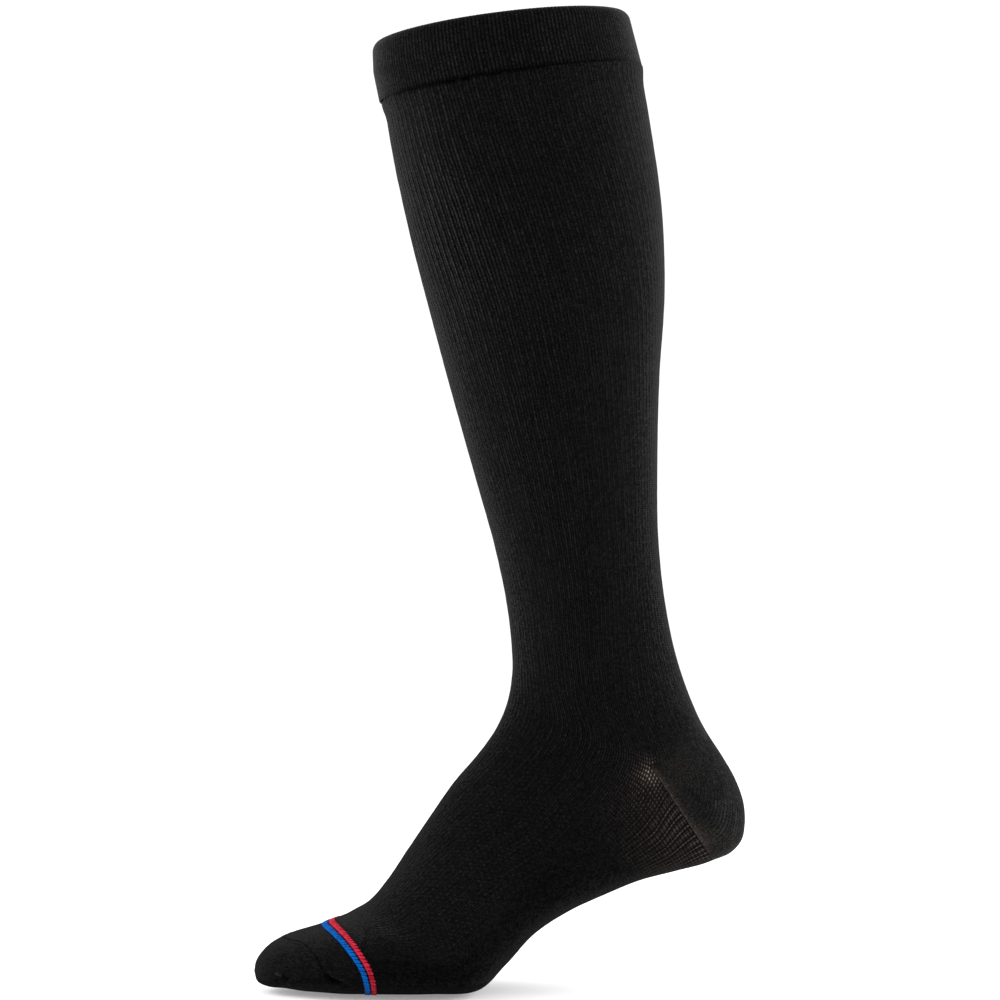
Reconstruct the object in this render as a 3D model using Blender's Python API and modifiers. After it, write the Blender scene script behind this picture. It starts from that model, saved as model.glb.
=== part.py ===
"""Knee-high compression stocking in its worn form, standing on its toes.

Frame: metres, +Z up, toes towards -Y, heel towards +Y, mirror-symmetric about X = 0.
The origin is the centre of the leg opening, where the wearer's leg holds the stocking.

Every piece is an open sheet lofted through sections, mirrored, and thickened inwards. A section
is half a ring from its front point to its back point in the plane X = 0, by way of its side
point. On the foot, the front point is on the instep and the back point is under the sole.
"""

import bpy
import numpy as np
from mathutils import Vector

MM = 0.001
WALL = 1.2  # thickness of one ply of knit
SEAM_GAP = 0.4  # between neighbouring pieces, outside; it narrows towards the inside
FRONT_COLUMNS = 12  # faces of half a ring, from its front to the line of the gore
BACK_COLUMNS = 6  # faces of half a ring, from the line of the gore to its back
CURVE_POINTS = 48  # points that measure each quarter of a ring
FOOT_STEPS = 2  # rings for each of the foot's sections
MERGE = 0.00002  # metres, where the mirrored halves meet

WELT_SPACE = 0.3  # between the two plies of the welt
WELT_SHOULDER = 5.0  # radius at which the band leans in below its rim
WELT_LEAN = 50.0  # degrees that it leans in before it folds over

GORE_TIP = 1.2  # cut off the heel pocket's corner, where the leg and foot meet it

# Sections in millimetres, a row for each:
#   front and back: y and z of the ring's front and back points
#   widest: where the side point lies, as a share of the way from front to back
#   dip: how far the side point lies past that line, towards the toes
#   half_width: x of the side point
#   front_power, back_power: 2 is an ellipse, more is squarer
#   gore: 1 where the gore's column of points runs through the side point
COLUMNS = (
    "front_y", "front_z", "back_y", "back_z",
    "widest", "dip", "half_width", "front_power", "back_power", "gore",
)
WELT_SECTIONS = (
    (-63.5, -7.0, 60.5, 8.5, 0.50, -1.0, 57.5, 2.1, 2.1, 0.0),
    (-63.0, -21.5, 64.0, -5.0, 0.50, 0.0, 58.0, 2.1, 2.1, 0.0),
    (-60.0, -36.0, 67.5, -18.5, 0.50, 0.0, 58.0, 2.1, 2.1, 0.0),
)
LEG_SECTIONS = (
    (-57.8, -36.5, 66.8, -19.0, 0.50, 0.0, 56.8, 2.1, 2.1, 0.0),
    (-53.0, -64.0, 71.5, -47.0, 0.50, 0.0, 57.5, 2.1, 2.1, 0.0),
    (-44.5, -103.0, 77.0, -87.0, 0.51, 0.0, 57.5, 2.1, 2.1, 0.0),
    (-34.5, -141.5, 78.5, -128.0, 0.52, 0.0, 55.5, 2.1, 2.1, 0.0),
    (-24.0, -180.5, 76.0, -169.0, 0.52, 0.0, 49.5, 2.1, 2.1, 0.0),
    (-13.0, -219.5, 75.0, -210.5, 0.52, 0.0, 41.5, 2.1, 2.1, 0.0),
    (-3.5, -253.5, 75.5, -248.5, 0.52, 0.0, 34.5, 2.1, 2.0, 0.0),
    (1.5, -277.5, 78.5, -277.5, 0.53, 0.5, 31.0, 2.0, 2.0, 0.1),
    (4.0, -297.0, 84.0, -304.5, 0.56, 3.5, 30.0, 2.0, 2.0, 0.3),
    (4.5, -313.5, 91.5, -326.5, 0.65, 10.0, 31.0, 2.0, 2.1, 0.7),
    (2.0, -328.0, 100.0, -343.5, 0.720, 16.5, 32.5, 2.0, 2.2, 1.0),
)
FOOT_SECTIONS = (
    (2.0, -328.0, 102.0, -404.0, 0.564, -19.3, 32.5, 2.0, 2.4, 1.0),
    (-3.5, -340.5, 84.5, -409.0, 0.58, -13.0, 33.5, 2.0, 2.4, 0.6),
    (-12.0, -352.5, 67.0, -413.5, 0.58, -9.0, 34.5, 2.0, 2.4, 0.3),
    (-24.0, -366.5, 49.5, -420.5, 0.57, -7.0, 36.5, 2.0, 2.4, 0.0),
    (-35.5, -383.0, 32.0, -428.5, 0.57, -7.0, 39.5, 2.0, 2.4, 0.0),
    (-47.0, -400.0, 14.5, -440.0, 0.58, -7.0, 43.0, 2.0, 2.5, 0.0),
    (-56.0, -413.5, 1.5, -454.0, 0.59, -7.0, 45.5, 2.1, 2.6, 0.0),
    (-64.5, -423.5, -12.0, -466.0, 0.60, -7.0, 46.5, 2.1, 2.8, 0.0),
    (-73.5, -429.0, -34.5, -467.5, 0.60, -8.0, 46.5, 2.1, 2.9, 0.0),
    (-81.0, -432.5, -60.5, -467.5, 0.59, -8.5, 45.5, 2.1, 2.9, 0.0),
    (-85.0, -434.0, -64.0, -467.5, 0.59, -8.5, 44.9, 2.1, 2.9, 0.0),
    (-89.0, -435.5, -67.5, -467.5, 0.59, -8.5, 44.0, 2.1, 2.9, 0.0),
    (-95.5, -437.5, -78.0, -467.5, 0.58, -8.0, 41.8, 2.1, 2.8, 0.0),
    (-102.5, -439.5, -87.5, -467.0, 0.57, -7.0, 38.5, 2.1, 2.7, 0.0),
    (-108.5, -442.0, -97.0, -466.5, 0.56, -6.0, 34.0, 2.1, 2.6, 0.0),
    (-113.5, -445.0, -105.0, -465.5, 0.55, -4.5, 28.5, 2.1, 2.5, 0.0),
    (-117.5, -449.0, -113.5, -465.0, 0.54, -3.0, 21.5, 2.1, 2.3, 0.0),
    (-120.0, -453.0, -119.0, -463.0, 0.52, -1.0, 12.0, 2.0, 2.0, 0.0),
)
RED_START = 9  # the foot's section where the red stripe begins
BLUE_START = 10  # and where the blue one does
TOE_START = 11  # and where the toe cap does
TOE_TIP = (0.0, -121.0, -458.0)
# y and z of the heel pocket's back, between the leg's last section and the foot's first one
HEEL_BACKS = (
    (106.5, -353.5),
    (113.0, -365.0),
    (117.0, -377.0),
    (117.5, -386.0),
    (116.0, -394.0),
    (111.0, -400.0),
)


def section(row):
    """A row's values by name, its front and back points, and its side point with X left at 0."""
    value = dict(zip(COLUMNS, row))
    front = np.array((0.0, value["front_y"], value["front_z"]))
    back = np.array((0.0, value["back_y"], value["back_z"]))
    along = (back - front) / np.linalg.norm(back - front)
    dip = value["dip"] * np.array((0.0, along[2], -along[1]))
    side = front + value["widest"] * (back - front) + dip
    return value, front, back, side, dip


def quarter(end, side, half_width, power, dip, bow):
    """A quarter of a superellipse from its end in the plane X = 0 to its side point.

    Seen from the side it runs straight to the side point where bow is 1, and where bow is 2
    it curves into the dip, so that it has no corner there.
    """
    angle = np.linspace(0.0, np.pi / 2, CURVE_POINTS)[:, None]
    share = np.cos(angle) ** (2 / power)
    across = np.array((half_width, 0.0, 0.0)) * np.sin(angle) ** (2 / power)
    return side + share * (end - side + dip) - share**bow * dip + across


def lengths(curve):
    """The distance along a curve to each of its points."""
    steps = np.linalg.norm(np.diff(curve, axis=0), axis=1)
    return np.concatenate(([0.0], np.cumsum(steps)))


def spread(curve, distances):
    """The points of a curve at these distances along it."""
    along = lengths(curve)
    return np.stack([np.interp(distances, along, curve[:, axis]) for axis in range(3)], axis=1)


def half_ring(row):
    """A section's columns of points from front to back, evenly spaced on each side of the gore."""
    value, front, back, side, dip = section(row)
    bow = 2.0 - value["gore"]
    front_curve = quarter(front, side, value["half_width"], value["front_power"], dip, bow)
    back_curve = quarter(back, side, value["half_width"], value["back_power"], dip, bow)[::-1]
    curve = np.concatenate((front_curve, back_curve[1:]))
    total = lengths(curve)[-1]
    at_side = lengths(front_curve)[-1]
    even = total * FRONT_COLUMNS / (FRONT_COLUMNS + BACK_COLUMNS)
    gore = even + value["gore"] * (at_side - even)
    before = np.linspace(0.0, gore, FRONT_COLUMNS + 1)
    after = np.linspace(gore, total, BACK_COLUMNS + 1)
    return spread(curve, np.concatenate((before, after[1:])))


def smooth_rows(rows, first, last, steps):
    """The rows from first to last, with steps - 1 more between each pair on a smooth curve."""
    rows = np.array(rows)
    middles = np.stack([np.mean(section(row)[1:4], axis=0) for row in rows])
    place = lengths(middles)
    slopes = np.gradient(rows, place, axis=0)
    found = []
    for index in range(first, last):
        gap = place[index + 1] - place[index]
        for t in np.arange(steps) / steps:
            start = (1 + 2 * t) * (1 - t) ** 2 * rows[index]
            end = t * t * (3 - 2 * t) * rows[index + 1]
            leave = t * (1 - t) ** 2 * gap * slopes[index]
            arrive = t * t * (t - 1) * gap * slopes[index + 1]
            found.append(start + end + leave + arrive)
    return found + [rows[last]]


def grown(row, distance):
    """A section's row with its ring moved out by this distance."""
    value, front, back = section(row)[:3]
    outwards = (front - back) / np.linalg.norm(front - back) * distance
    value["front_y"] += outwards[1]
    value["front_z"] += outwards[2]
    value["back_y"] -= outwards[1]
    value["back_z"] -= outwards[2]
    value["half_width"] += distance
    return tuple(value[name] for name in COLUMNS)


def between(rows, place):
    """The row at this place along evenly spaced rows, which may lie just past either end."""
    index = int(np.clip(np.floor(place), 0, len(rows) - 2))
    first, second = np.array(rows[index]), np.array(rows[index + 1])
    return first + (place - index) * (second - first)


def set_back(rings, ends):
    """Rings with their end rings moved square off the seam by half its gap."""
    rings = [ring.copy() for ring in rings]
    for end, inside in ends:
        along = np.gradient(rings[end], axis=0)
        along /= np.linalg.norm(along, axis=1)[:, None]
        inwards = rings[inside] - rings[end]
        inwards -= along * np.sum(inwards * along, axis=1)[:, None]
        inwards[[0, -1], 0] = 0.0
        inwards /= np.linalg.norm(inwards, axis=1)[:, None]
        rings[end] += inwards * SEAM_GAP / 2
    return rings


def knit(name, colour, roughness):
    """A Principled material for one colour of knit."""
    material = bpy.data.materials.new(name)
    material.use_nodes = True
    shader = material.node_tree.nodes["Principled BSDF"]
    shader.inputs["Base Color"].default_value = (*colour, 1.0)
    shader.inputs["Roughness"].default_value = roughness
    shader.inputs["Metallic"].default_value = 0.0
    return material


def piece(name, rings, material, collection, tip=None):
    """One piece of knit: half its outer sheet through the rings, mirrored and thickened inwards."""
    columns = len(rings[0])
    points = [Vector(point) * MM for ring in rings for point in ring]
    faces = []
    for row in range(len(rings) - 1):
        for column in range(columns - 1):
            corner = row * columns + column
            faces.append((corner, corner + columns, corner + columns + 1, corner + 1))
    if tip is not None:
        points.append(Vector(tip) * MM)
        last = (len(rings) - 1) * columns
        for column in range(columns - 1):
            faces.append((last + column, len(points) - 1, last + column + 1))
    mesh = bpy.data.meshes.new(name)
    mesh.from_pydata(points, [], faces)
    mesh.materials.append(material)
    mesh.shade_smooth()
    sheet = bpy.data.objects.new(name, mesh)
    mirror = sheet.modifiers.new("Mirror", "MIRROR")
    mirror.merge_threshold = MERGE
    solidify = sheet.modifiers.new("Solidify", "SOLIDIFY")
    solidify.thickness = WALL * MM
    solidify.offset = -1.0
    solidify.use_even_offset = True
    collection.objects.link(sheet)
    return sheet


def welt_profile():
    """The turned band's outline as pairs: the share of its height from the seam, and how far out."""
    front_height = np.linalg.norm(np.array(WELT_SECTIONS[0][:2]) - np.array(WELT_SECTIONS[-1][:2]))
    thickness = 2 * WALL + WELT_SPACE
    lean = np.radians(WELT_LEAN)
    shoulder = np.array((front_height - WELT_SHOULDER, -WELT_SHOULDER))
    fold = shoulder + (WELT_SHOULDER - thickness / 2) * np.array((np.sin(lean), np.cos(lean)))
    arcs = (
        (shoulder, WELT_SHOULDER, 0.0, lean, 3),
        (fold, thickness / 2, lean, lean + np.pi, 5),
        (shoulder, WELT_SHOULDER - thickness, lean, 0.0, 2),
    )
    outline = [(0.0, 0.0)]
    for centre, radius, start, end, points in arcs:
        for angle in np.linspace(start, end, points):
            outline.append(centre + radius * np.array((np.sin(angle), np.cos(angle))))
    outline.append((0.0, -thickness))
    return [(height / front_height, out) for height, out in outline]


def make_welt(material, collection):
    """The turned double band, one ply folded over at the rim."""
    last = len(WELT_SECTIONS) - 1
    rings = []
    for share, out in welt_profile():
        rings.append(half_ring(grown(between(WELT_SECTIONS, last * (1 - share)), out)))
    rings = set_back(rings, ((0, 1), (-1, -2)))
    piece("welt", rings[::-1], material, collection)


def make_tube(name, rows, material, collection):
    """A stretch of the tube that is open at both ends."""
    rings = [half_ring(row) for row in rows]
    piece(name, set_back(rings, ((0, 1), (-1, -2))), material, collection)


def make_toe(material, collection):
    """The closed toe cap."""
    rows = smooth_rows(FOOT_SECTIONS, TOE_START, len(FOOT_SECTIONS) - 1, FOOT_STEPS)
    rings = [half_ring(row) for row in rows]
    piece("toe", set_back(rings, ((0, 1),)), material, collection, tip=TOE_TIP)


def make_heel(material, collection):
    """The heel pocket: half rings that fan out from the gore's upper end on each side."""
    leg_end, _, leg_back, side, _ = section(LEG_SECTIONS[-1])
    foot_start, _, foot_back, _, _ = section(FOOT_SECTIONS[0])
    backs = [leg_back[1:], *HEEL_BACKS, foot_back[1:]]
    powers = np.linspace(leg_end["back_power"], foot_start["back_power"], len(backs))
    rings = []
    for (y, z), power in zip(backs, powers):
        back = np.array((0.0, y, z))
        curve = quarter(back, side, leg_end["half_width"], power, np.zeros(3), 1.0)[::-1]
        distances = np.linspace(0.0, lengths(curve)[-1], BACK_COLUMNS + 1)
        distances[0] = GORE_TIP
        rings.append(spread(curve, distances))
    piece("heel", set_back(rings, ((0, 1), (-1, -2))), material, collection)


def build():
    """Clears the scene and makes the stocking's seven pieces."""
    for thing in list(bpy.data.objects):
        bpy.data.objects.remove(thing, do_unlink=True)
    collection = bpy.data.collections.new("compression_stocking")
    bpy.context.scene.collection.children.link(collection)
    black = knit("black_knit", (0.008, 0.008, 0.008), 0.85)
    red = knit("red_knit", (0.62, 0.03, 0.05), 0.8)
    blue = knit("blue_knit", (0.003, 0.10, 0.44), 0.8)
    make_welt(black, collection)
    make_tube("leg", LEG_SECTIONS, black, collection)
    make_heel(black, collection)
    make_tube("foot", smooth_rows(FOOT_SECTIONS, 0, RED_START, FOOT_STEPS), black, collection)
    red_rows = smooth_rows(FOOT_SECTIONS, RED_START, BLUE_START, FOOT_STEPS)
    make_tube("stripe_red", red_rows, red, collection)
    blue_rows = smooth_rows(FOOT_SECTIONS, BLUE_START, TOE_START, FOOT_STEPS)
    make_tube("stripe_blue", blue_rows, blue, collection)
    make_toe(black, collection)


build()
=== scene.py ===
"""Looks of the knee-high compression stocking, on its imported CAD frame.

Frame: metres, +Z up, toes towards -Y, heel towards +Y. The knit follows the sections that the
CAD solids have. A place on it is its wale, counted in turns from the front centre line by way
of +X, and its distance down the tube, in millimetres.
"""

import bmesh
import bpy
import numpy as np
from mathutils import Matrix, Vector


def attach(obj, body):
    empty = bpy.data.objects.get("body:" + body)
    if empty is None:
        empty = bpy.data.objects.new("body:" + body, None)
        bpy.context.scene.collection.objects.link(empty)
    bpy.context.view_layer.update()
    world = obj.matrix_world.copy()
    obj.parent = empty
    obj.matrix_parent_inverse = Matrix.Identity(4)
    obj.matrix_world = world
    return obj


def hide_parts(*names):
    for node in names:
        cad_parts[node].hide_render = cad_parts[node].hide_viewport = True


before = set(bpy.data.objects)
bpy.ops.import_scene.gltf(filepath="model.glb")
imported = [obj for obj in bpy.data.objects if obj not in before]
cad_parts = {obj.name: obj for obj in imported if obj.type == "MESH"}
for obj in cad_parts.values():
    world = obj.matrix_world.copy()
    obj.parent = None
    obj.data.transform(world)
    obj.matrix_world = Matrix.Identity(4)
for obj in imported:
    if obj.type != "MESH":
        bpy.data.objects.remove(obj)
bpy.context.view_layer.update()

MM = 0.001
CURVE_POINTS = 160  # points that measure each quarter of a ring
HALF = 240  # columns of half a ring of the smooth surface
GORE = 160  # the one of them that runs to the gore's upper end
SLOPE_FADE = 24  # columns behind the gore that take some of the front panel's slopes
NORMAL_REACH = 0.4  # how far above and below a place its normal is measured
PAST_END = 0.8  # how far the extra rows lie past each end of a piece
RIBS = 102  # raised wales round the leg; a sunk wale lies between each two
PER_RIB = 8  # mesh columns for each rib
WALES = 2 * RIBS
TOE_WALES = 144
PER_WALE = 4  # mesh columns for each wale of the welt and the toe
STRIPE_STITCHES = 102
PER_STITCH = 14  # mesh columns for each stitch of a stripe
PLY = 0.9  # thickness of the knit
INSIDE_STEPS = 3, 4  # rows and columns of the outside for each one of the inside
NOISE_REACH = 800.0  # length of knit that the noise covers
WELD_DISTANCE = 0.00001  # metres
# Bands of the second UV map
OUTSIDE, FIRST_RIM, INSIDE, LAST_RIM = (0.0, 0.74), (0.75, 0.76), (0.77, 0.97), (0.98, 0.99)

# Sections in millimetres, as in the CAD source: y and z of the front and back points, the side
# point's share of the way between them and its distance past that line, the half width, the
# roundness in front and behind, and near the gore how far its column is drawn to the side point.
WELT_SECTIONS = (
    (-63.5, -7.0, 60.5, 8.5, 0.50, -1.0, 57.5, 2.1, 2.1),
    (-63.0, -21.5, 64.0, -5.0, 0.50, 0.0, 58.0, 2.1, 2.1),
    (-60.0, -36.0, 67.5, -18.5, 0.50, 0.0, 58.0, 2.1, 2.1),
)
LEG_SECTIONS = (
    (-57.8, -36.5, 66.8, -19.0, 0.50, 0.0, 56.8, 2.1, 2.1),
    (-53.0, -64.0, 71.5, -47.0, 0.50, 0.0, 57.5, 2.1, 2.1),
    (-44.5, -103.0, 77.0, -87.0, 0.51, 0.0, 57.5, 2.1, 2.1),
    (-34.5, -141.5, 78.5, -128.0, 0.52, 0.0, 55.5, 2.1, 2.1),
    (-24.0, -180.5, 76.0, -169.0, 0.52, 0.0, 49.5, 2.1, 2.1),
    (-13.0, -219.5, 75.0, -210.5, 0.52, 0.0, 41.5, 2.1, 2.1),
    (-3.5, -253.5, 75.5, -248.5, 0.52, 0.0, 34.5, 2.1, 2.0),
    (1.5, -277.5, 78.5, -277.5, 0.53, 0.5, 31.0, 2.0, 2.0, 0.1),
    (4.0, -297.0, 84.0, -304.5, 0.56, 3.5, 30.0, 2.0, 2.0, 0.3),
    (4.5, -313.5, 91.5, -326.5, 0.65, 10.0, 31.0, 2.0, 2.1, 0.7),
    (2.0, -328.0, 100.0, -343.5, 0.720, 16.5, 32.5, 2.0, 2.2, 1.0),
)
FOOT_SECTIONS = (
    (2.0, -328.0, 102.0, -404.0, 0.564, -19.3, 32.5, 2.0, 2.4, 1.0),
    (-3.5, -340.5, 84.5, -409.0, 0.58, -13.0, 33.5, 2.0, 2.4, 0.6),
    (-12.0, -352.5, 67.0, -413.5, 0.58, -9.0, 34.5, 2.0, 2.4, 0.3),
    (-24.0, -366.5, 49.5, -420.5, 0.57, -7.0, 36.5, 2.0, 2.4),
    (-35.5, -383.0, 32.0, -428.5, 0.57, -7.0, 39.5, 2.0, 2.4),
    (-47.0, -400.0, 14.5, -440.0, 0.58, -7.0, 43.0, 2.0, 2.5),
    (-56.0, -413.5, 1.5, -454.0, 0.59, -7.0, 45.5, 2.1, 2.6),
    (-64.5, -423.5, -12.0, -466.0, 0.60, -7.0, 46.5, 2.1, 2.8),
    (-73.5, -429.0, -34.5, -467.5, 0.60, -8.0, 46.5, 2.1, 2.9),
    (-81.0, -432.5, -60.5, -467.5, 0.59, -8.5, 45.5, 2.1, 2.9),
    (-85.0, -434.0, -64.0, -467.5, 0.59, -8.5, 44.9, 2.1, 2.9),
    (-89.0, -435.5, -67.5, -467.5, 0.59, -8.5, 44.0, 2.1, 2.9),
    (-95.5, -437.5, -78.0, -467.5, 0.58, -8.0, 41.8, 2.1, 2.8),
    (-102.5, -439.5, -87.5, -467.0, 0.57, -7.0, 38.5, 2.1, 2.7),
    (-108.5, -442.0, -97.0, -466.5, 0.56, -6.0, 34.0, 2.1, 2.6),
    (-113.5, -445.0, -105.0, -465.5, 0.55, -4.5, 28.5, 2.1, 2.5),
    (-117.5, -449.0, -113.5, -465.0, 0.54, -3.0, 21.5, 2.1, 2.3),
    (-120.0, -453.0, -119.0, -463.0, 0.52, -1.0, 12.0, 2.0, 2.0),
)
RED_START, BLUE_START, TOE_START = 9, 10, 11
TOE_TIP = (0.0, -121.0, -458.0)
HEEL_BACKS = (
    (106.5, -353.5), (113.0, -365.0), (117.0, -377.0),
    (117.5, -386.0), (116.0, -394.0), (111.0, -400.0),
)

# How far the wales have turned round the tube, towards the front on the +X side, in millimetres
LEG_TWIST = (24.2, 21.5, 15.2, 8.6, 3.4, 0.8, 0.0, 0.0, 0.0, 0.0, 0.0)
FOOT_TWIST = (0.0, 0.0, 0.0, 0.5, 3.0, 7.0, 11.0, 14.0, 15.0, 15.0)

# ---- the smooth surface


def length(vectors):
    return np.linalg.norm(vectors, axis=-1)


def unit(vectors):
    return vectors / np.maximum(length(vectors)[..., None], 1e-9)


def section(row):
    """A row's front, back and side points in the plane X = 0, its dip, and its other values."""
    front_y, front_z, back_y, back_z, widest, dip, *others = row
    front, back = np.array((0.0, front_y, front_z)), np.array((0.0, back_y, back_z))
    along = unit(back - front)
    dip = dip * np.array((0.0, along[2], -along[1]))
    side = front + widest * (back - front) + dip
    return front, back, side, dip, *(*others, 0.0)[:4]


def quarter(end, side, half_width, power, dip, bow):
    """A quarter of a superellipse from its end in the plane X = 0 to its side point."""
    angle = np.linspace(0.0, np.pi / 2, CURVE_POINTS)[:, None]
    share = np.cos(angle) ** (2 / power)
    across = np.array((half_width, 0.0, 0.0)) * np.sin(angle) ** (2 / power)
    return side + share * (end - side + dip) - share**bow * dip + across


def lengths(curve):
    """The distance along a curve to each of its points."""
    return np.r_[0.0, np.cumsum(length(np.diff(curve, axis=0)))]


def spread(curve, distances):
    """The points of a curve at these distances along it."""
    along = lengths(curve)
    return np.stack([np.interp(distances, along, curve[:, axis]) for axis in range(3)], axis=1)


def half_ring(row):
    """A section's points from front to back, evenly spaced on each side of the gore's column."""
    front, back, side, dip, half_width, front_power, back_power, drawn = section(row)
    front_curve = quarter(front, side, half_width, front_power, dip, 2.0 - drawn)
    back_curve = quarter(back, side, half_width, back_power, dip, 2.0 - drawn)[::-1]
    curve = np.concatenate((front_curve, back_curve[1:]))
    total = lengths(curve)[-1]
    even = total * GORE / HALF
    gore = even + drawn * (lengths(front_curve)[-1] - even)
    before = np.linspace(0.0, gore, GORE + 1)
    after = np.linspace(gore, total, HALF - GORE + 1)
    return spread(curve, np.concatenate((before, after[1:])))


def heel_rings():
    """The heel pocket's half rings, from the gore's upper end to its back."""
    _, _, side, _, half_width, _, leg_power, _ = section(LEG_SECTIONS[-1])
    foot_power = section(FOOT_SECTIONS[0])[6]
    powers = np.linspace(leg_power, foot_power, len(HEEL_BACKS) + 2)
    rings = []
    for (y, z), power in zip(HEEL_BACKS, powers[1:]):
        back = np.array((0.0, y, z))
        curve = quarter(back, side, half_width, power, np.zeros(3), 1.0)[::-1]
        rings.append(spread(curve, np.linspace(0.0, lengths(curve)[-1], HALF - GORE + 1)))
    return np.stack(rings)


def mean_steps(rings):
    """The mean distance from each ring to the next."""
    return length(np.diff(rings, axis=0)).mean(axis=1)


def joined(*steps):
    """Places down the tube, from the steps between them."""
    return np.r_[0.0, np.cumsum(np.concatenate(steps))]


LEG_RINGS = np.stack([half_ring(row) for row in LEG_SECTIONS])
TIP_RING = np.tile(TOE_TIP, (HALF + 1, 1))
FOOT_RINGS = np.stack([half_ring(row) for row in FOOT_SECTIONS] + [TIP_RING])
HEEL_RINGS = heel_rings()
BACK_RINGS = np.concatenate((LEG_RINGS[:, GORE:], HEEL_RINGS, FOOT_RINGS[:, GORE:]))
LEG_STEPS = mean_steps(LEG_RINGS)
FOOT_STEPS = mean_steps(FOOT_RINGS)
LEGS, HEELS = len(LEG_RINGS), len(HEEL_RINGS)
HEEL_STEPS = mean_steps(BACK_RINGS[LEGS - 1 : LEGS + HEELS + 1])
LEG_PLACES = joined(LEG_STEPS)
FOOT_PLACES = joined(FOOT_STEPS)
LEG_END = LEG_PLACES[-1]
HEEL_LENGTH = HEEL_STEPS.sum()


class Panel:
    """A smooth surface through rings of points, each at its place down the tube."""

    def __init__(self, rings, places):
        self.rings, self.places = rings, places
        self.slopes = np.gradient(rings, places, axis=0)

    def at(self, places):
        """The rings at these places; past either end they run on straight."""
        inside = np.clip(places, self.places[0], self.places[-1])
        first = np.clip(np.searchsorted(self.places, inside, "right") - 1, 0, len(self.places) - 2)
        gap = (self.places[first + 1] - self.places[first])[:, None, None]
        t = (inside - self.places[first])[:, None, None] / gap
        found = (1 + 2 * t) * (1 - t) ** 2 * self.rings[first]
        found += t * t * (3 - 2 * t) * self.rings[first + 1]
        found += t * (1 - t) ** 2 * gap * self.slopes[first]
        found += t * t * (t - 1) * gap * self.slopes[first + 1]
        past = (places - inside)[:, None, None]
        return found + past * np.where(past < 0, self.slopes[:1], self.slopes[-1:])


FRONT = Panel(
    np.concatenate((LEG_RINGS[:, : GORE + 1], FOOT_RINGS[1:, : GORE + 1])),
    joined(LEG_STEPS, FOOT_STEPS),
)
BACK = Panel(BACK_RINGS, joined(LEG_STEPS, HEEL_STEPS, FOOT_STEPS))


# The back panel gets the front panel's slopes on the gore's column, fading away from it
NEAR = np.clip(1 - np.arange(HALF - GORE + 1) / SLOPE_FADE, 0, 1)[:, None] ** 2
for shift, rows in ((0, range(LEGS)), (HEELS + 1, range(LEGS - 1, len(FRONT.rings)))):
    for row in rows:
        own = BACK.slopes[row + shift]
        own += NEAR * (FRONT.slopes[row][-1] - own[0])


def both_sides(half):
    """Whole rings from half rings, back round to the first column."""
    return np.concatenate((half, half[:, -2::-1] * (-1.0, 1.0, 1.0)), axis=1)


def tube_surface(front_places, back_places):
    front, back = FRONT.at(front_places), BACK.at(back_places)
    return both_sides(np.concatenate((front, back[:, 1:]), axis=1))


def leg_surface(places):
    return tube_surface(places, places)


def foot_surface(places):
    return tube_surface(places + LEG_END, places + LEG_END + HEEL_LENGTH)


def heel_surface(places):
    return both_sides(BACK.at(places + LEG_END))

def round_steps(grid):
    """From each point's neighbour to its other one, along rows that close on themselves."""
    return np.roll(grid, -1, axis=1) - np.roll(grid, 1, axis=1)


def normals_of(points, down, cyclic=True):
    """The outward normals of rings, from the way down them. Closed rings repeat a point."""
    if cyclic:
        across = round_steps(points[:, :-1])
        across = np.concatenate((across, across[:, :1]), axis=1)
    else:
        across = np.gradient(points, axis=1)
    return unit(np.cross(down, across))


def with_normals(surface, places, cyclic=True):
    """A surface's rings at these places, and its outward normals there."""
    points = surface(places)
    down = surface(places + NORMAL_REACH) - surface(places - NORMAL_REACH)
    return points, normals_of(points, down, cyclic)


def with_ends(places):
    """These places with one more past each end, so that normals don't stop at an edge."""
    return np.r_[places[0] - PAST_END, places, places[-1] + PAST_END]


def relief_normals(outer, rows, cyclic=True):
    """The outward normals of a surface with its relief, without its first and last row."""
    down = np.gradient(outer, rows, axis=0)
    across = round_steps(outer) if cyclic else np.gradient(outer, axis=1)
    return unit(np.cross(down, across))[1:-1]


def sample(grid, turns, first=0.0, last=1.0):
    """The values of a grid's rows at these turns, which its columns cover from first to last."""
    if last - first == 1.0:
        turns = turns % 1.0
    at = np.clip((turns - first) / (last - first), 0.0, 1.0) * (grid.shape[1] - 1)
    left = np.minimum(at.astype(int), grid.shape[1] - 2)
    share = (at - left)[..., None]
    rows = np.arange(len(grid))[:, None]
    return grid[rows, left] * (1 - share) + grid[rows, left + 1] * share


# ---- the knit's relief


def ease(low, high, value):
    """0 before low, 1 past high and smooth between them; low may be the larger one."""
    t = np.clip((value - low) / (high - low), 0.0, 1.0)
    return t * t * (3 - 2 * t)


def hill(distance, width):
    """1 at no distance, and softly down to 0 on either side."""
    return np.exp(-((distance / width) ** 2))


def nearest_whole(numbers):
    return np.round(numbers).astype(int)


def side_share(turns):
    """How far round the tube these turns are, from 0 in front to 1 behind on either side."""
    share = turns % 1.0
    return np.minimum(share, 1 - share) * 2


def value_noise(seed, columns, spacing, at_column, at_place):
    """Smooth random values from -1 to 1: one line for each column, with knots down its length."""
    knots = int(NOISE_REACH / spacing) + 4
    values = np.random.default_rng(seed).uniform(-1.0, 1.0, (columns, knots))
    place = np.clip(at_place / spacing + 1.0, 0, knots - 2.001)
    row = place.astype(int)
    share = place - row
    share = share * share * (3 - 2 * share)
    column = at_column % columns
    return values[column, row] * (1 - share) + values[column, row + 1] * share


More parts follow.
